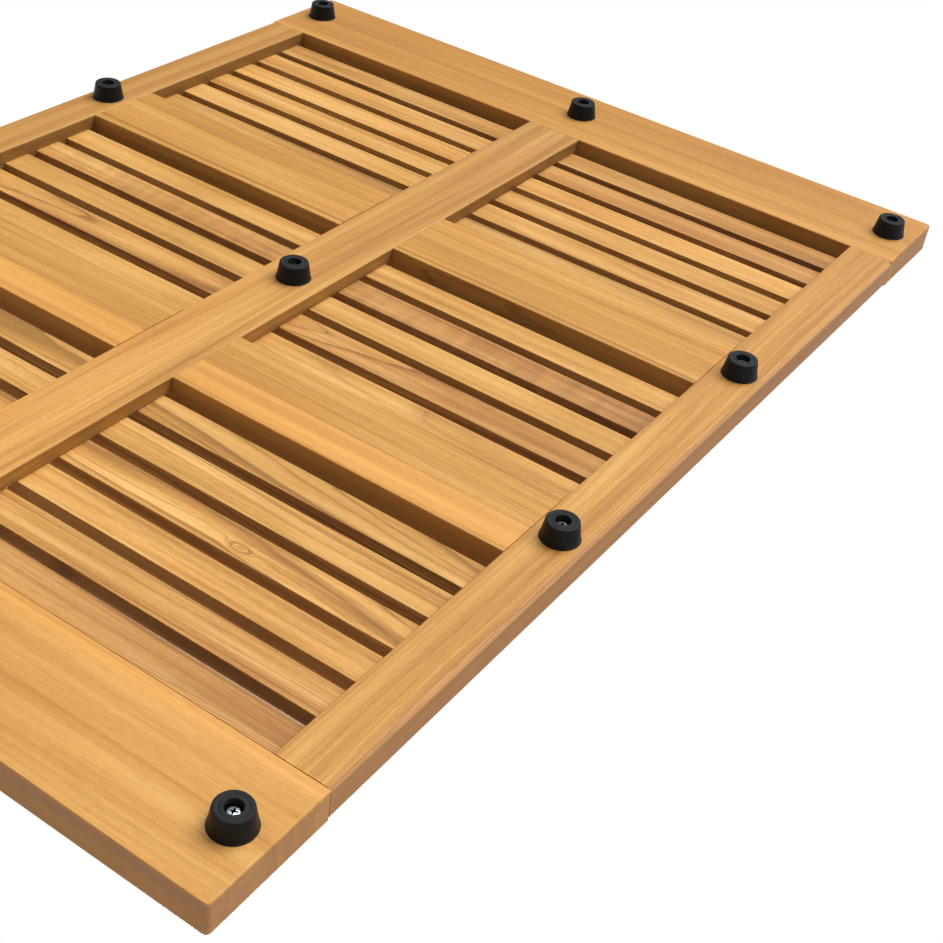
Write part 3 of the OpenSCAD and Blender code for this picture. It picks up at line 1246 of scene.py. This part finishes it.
@dataclass
class InnerFrame:
    """The two cross boards and the middle rail that is let into them."""

    glue_gap: float = 0.1 * MM
    light_strip: float = 25.0 * MM
    left_cuts: tuple[Cut, Cut] = (
        Cut(Sawing.QUARTER, light=(0.12, 0.12), lines=0.4, olive=0.1),
        Cut(Sawing.QUARTER, light=(-0.09, -0.08), lines=1.6, streaks=1.3, olive=0.12, pith=110 * MM),
    )
    right_cut: Cut = Cut(Sawing.QUARTER, light=(-0.03, -0.01), lines=1.6, olive=0.2)
    middle_cut: Cut = Cut(
        Sawing.RIFT, light=(0.12, -0.2), red=(0.05, 0.2), lines=1.2, streaks=2.5, olive=0.15
    )

    def build(self, teak: Material) -> None:
        """Makes the cross boards between the side rails, and the middle rail between the end boards.

        Args:
            teak: the boards' finish.
        """
        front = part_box("side_rail_front")[1].y
        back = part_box("side_rail_back")[0].y
        rail_low, rail_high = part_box("mid_rail")
        rail_low.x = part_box("end_board_left")[1].x
        rail_high.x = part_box("end_board_right")[0].x
        notch = (rail_high.y - rail_low.y + 2 * self.glue_gap, rail_high.z)
        plans = (
            ("cross_board_left", self.left_cuts, 21),
            ("cross_board_right", (self.right_cut,), 22),
        )
        for node, cuts, seed in plans:
            low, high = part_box(node)
            low.y, high.y = front, back
            seams = (low.x + self.light_strip,) if len(cuts) > 1 else ()
            Board(
                node, low, high, Grain.ALONG_Y, cuts, seams=seams, notch=notch, seed=seed
            ).build(teak, Slot.FRAME_WOOD)
        Board(
            "mid_rail", rail_low, rail_high, Grain.ALONG_X, (self.middle_cut,), pieces_along=14, seed=23
        ).build(teak, Slot.FRAME_WOOD)


@dataclass
class Slats:
    """Seventeen thin slats in three panels, no two of them alike in figure or colour."""

    ease: float = 0.4 * MM
    # Several slats grow darker and redder toward their back ends, by the back rail.
    cuts: tuple[Cut, ...] = (
        Cut(Sawing.RIFT, light=(0.0, -0.22), red=(0.0, 0.4), lines=1.3, streaks=2.0, skew=0.12 * MM),
        Cut(
            Sawing.QUARTER, light=(0.06, -0.04), red=(0.0, 0.2), lines=1.4, streaks=1.8, olive=0.1, skew=0.3 * MM
        ),
        Cut(Sawing.PLAIN, light=(0.1, 0.06), lines=0.7, streaks=1.9, olive=0.15, skew=0.1 * MM),
        Cut(
            Sawing.PLAIN, light=(0.1, 0.05), lines=1.8, streaks=1.8, olive=0.1, pith=60 * MM, tilt=0.02,
            knot=Knot(136 * MM, -3 * MM),
        ),
        Cut(Sawing.RIFT, light=(0.09, 0.06), lines=1.8, streaks=2.2, olive=0.3),
        Cut(Sawing.PLAIN, light=(0.05, -0.05), lines=2.2, streaks=1.5, olive=0.2, pith=45 * MM, tilt=0.03),
        Cut(Sawing.PLAIN, light=(0.05, 0.02), lines=1.0, streaks=1.5, olive=0.3),
        Cut(
            Sawing.PLAIN, light=(0.0, -0.1), red=(0.0, 0.35), lines=1.9, streaks=1.4, pith=60 * MM, tilt=0.03
        ),
        Cut(Sawing.QUARTER, light=(0.0, 0.0), lines=0.7, streaks=1.4, olive=0.3),
        Cut(Sawing.RIFT, light=(-0.05, -0.18), red=(0.1, 0.6), lines=1.1, ripple=0.55, streaks=1.5),
        Cut(Sawing.QUARTER, light=(0.05, 0.0), lines=0.9, streaks=1.4, olive=0.2),
        Cut(Sawing.RIFT, light=(-0.14, -0.14), lines=1.3, streaks=1.5, olive=0.2),
        Cut(Sawing.PLAIN, light=(0.0, -0.02), red=(0.0, 0.1), lines=1.1, streaks=1.9, olive=0.1),
        Cut(Sawing.QUARTER, light=(-0.02, -0.02), red=(0.0, 0.1), lines=0.9, streaks=1.7, olive=0.1),
        Cut(Sawing.RIFT, light=(0.04, 0.04), lines=1.0, streaks=1.5),
        Cut(Sawing.QUARTER, light=(0.0, -0.06), red=(0.0, 0.5), lines=1.2, streaks=1.4),
        Cut(Sawing.PLAIN, light=(-0.14, -0.18), red=(0.1, 0.3), lines=1.4, streaks=1.5),
    )

    def build(self, teak: Material) -> None:
        """Makes the slats between the side rails.

        Args:
            teak: the slats' finish.
        """
        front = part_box("side_rail_front")[1].y
        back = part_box("side_rail_back")[0].y
        for seed, (node, cut) in enumerate(zip(SLAT_NODES, self.cuts), start=31):
            low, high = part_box(node)
            low.y, high.y = front, back
            Board(
                node, low, high, Grain.ALONG_Y, (cut,), ease=self.ease, pieces_along=8, seed=seed
            ).build(teak, Slot.SLAT_WOOD)


@dataclass(frozen=True)
class SoftLight:
    """A square soft light that looks at the mat."""

    name: str
    place: tuple[float, float, float]
    size: float
    watts: float
    colour: str = "#ffffff"

    def build(self) -> None:
        """Hangs the light and turns it to the mat."""
        data = bpy.data.lights.new(self.name, "AREA")
        data.shape, data.size, data.energy = "SQUARE", self.size, self.watts
        data.color = linear(self.colour)[:3]
        lamp = in_scene(self.name, data)
        lamp.location = self.place
        lamp.rotation_euler = (-Vector(self.place)).to_track_quat("-Z", "Y").to_euler()
        lamp.visible_camera = False


@dataclass
class Studio:
    """The pale floor, the white surroundings, the soft lights and the camera."""

    floor_size: float = 24.0
    glow: tuple[tuple[float, float], ...] = (
        (0.0, 1.0), (0.05, 0.9), (0.1, 0.3), (0.42, 0.2), (0.49, 0.3), (0.52, 1.0), (0.66, 1.0), (0.73, 0.12),
        (1.0, 0.12),
    )
    lights: tuple[SoftLight, ...] = (
        SoftLight("key_from_below", (5.0, 1.5, -7.8), 6.2, 850.0),
        SoftLight("side_from_below", (3.8, 5.4, -6.0), 1.2, 110.0),
        SoftLight("spark_from_below", (3.9, -2.3, -7.8), 0.5, 45.0, "#e6f0ff"),
        SoftLight("key_from_above", (1.8, -1.4, 8.6), 4.5, 1050.0),
    )
    lens: float = 60.22
    shift: float = 0.03
    place: tuple[float, float, float] = (-0.6675, 0.5109, -0.4792)
    turn: tuple[float, float, float] = (-126.934, 6.361, 55.11)

    def floor(self) -> None:
        """Lays the floor under the feet; it blocks no light and shows from above only."""
        mesh = bmesh.new()
        bmesh.ops.create_grid(mesh, x_segments=1, y_segments=1, size=self.floor_size / 2)
        data = bpy.data.meshes.new("studio_floor")
        mesh.to_mesh(data)
        mesh.free()
        data.materials.append(PaleFloor().build())
        floor = in_scene("studio_floor", data)
        floor.visible_shadow = False
        floor.visible_diffuse = False
        floor.visible_glossy = False
        floor.visible_transmission = False

    def surroundings(self) -> None:
        """Makes white surroundings that light the mat more softly than they look."""
        world = bpy.data.worlds.new("white_surroundings")
        tree = empty_tree(world)
        seen = add_node(tree, "LightPath").outputs["Is Camera Ray"]
        way = add_node(tree, "TexCoord").outputs["Generated"]
        height = add_node(tree, "SeparateXYZ", {0: way}).outputs["Z"]
        glow = add_node(tree, "ValToRGB", {0: layered(tree, 0.5, (height, 0.5))}, stops=self.glow)
        shown = add_node(tree, "Mix", {"Factor": seen, "A": glow, "B": linear("#ffffff")}, data_type="RGBA")
        white = add_node(tree, "Background", {"Color": shown, "Strength": 1.0})
        add_node(tree, "OutputWorld", {"Surface": white})
        bpy.context.scene.world = world

    def camera(self) -> None:
        """Sets the camera below the mat, looking up at its underside."""
        data = bpy.data.cameras.new("camera")
        data.lens, data.shift_x, data.clip_start = self.lens, self.shift, 0.01
        camera = in_scene("camera", data)
        camera.location = self.place
        camera.rotation_euler = Euler([math.radians(a) for a in self.turn], "XYZ")
        bpy.context.scene.camera = camera

    def build(self) -> None:
        """Builds the studio, and shows colours as they are."""
        self.camera()
        self.floor()
        self.surroundings()
        for light in self.lights:
            light.build()
        bpy.context.scene.view_settings.view_transform = "Standard"


def main() -> None:
    """Builds the studio, then the mat from its frame to its fasteners."""
    logging.basicConfig(level=logging.INFO, format="%(name)s: %(message)s")
    Studio().build()
    frame_teak = Teak("oiled_teak_frame", rose="#c4906a").build()
    slat_teak = Teak(
        "oiled_teak_slats", pale="#e8b56c", gold="#d2994f", streak_width=5.0 * MM, drift_width=15.0 * MM,
        fibre_share=0.16, line_share=0.6, pore_share=0.16, drift_share=0.44, fleck_share=0.22,
    ).build()
    OuterFrame().build(frame_teak)
    InnerFrame().build(frame_teak)
    Slats().build(slat_teak)
    Feet().build(Rubber().build())
    FootScrews().build(PlatedSteel("bright_zinc_plated_steel").build())
    SlatBrads().build(PlatedSteel("drawn_steel_wire", roughness=0.3).build())


if __name__ == "__main__":
    main()
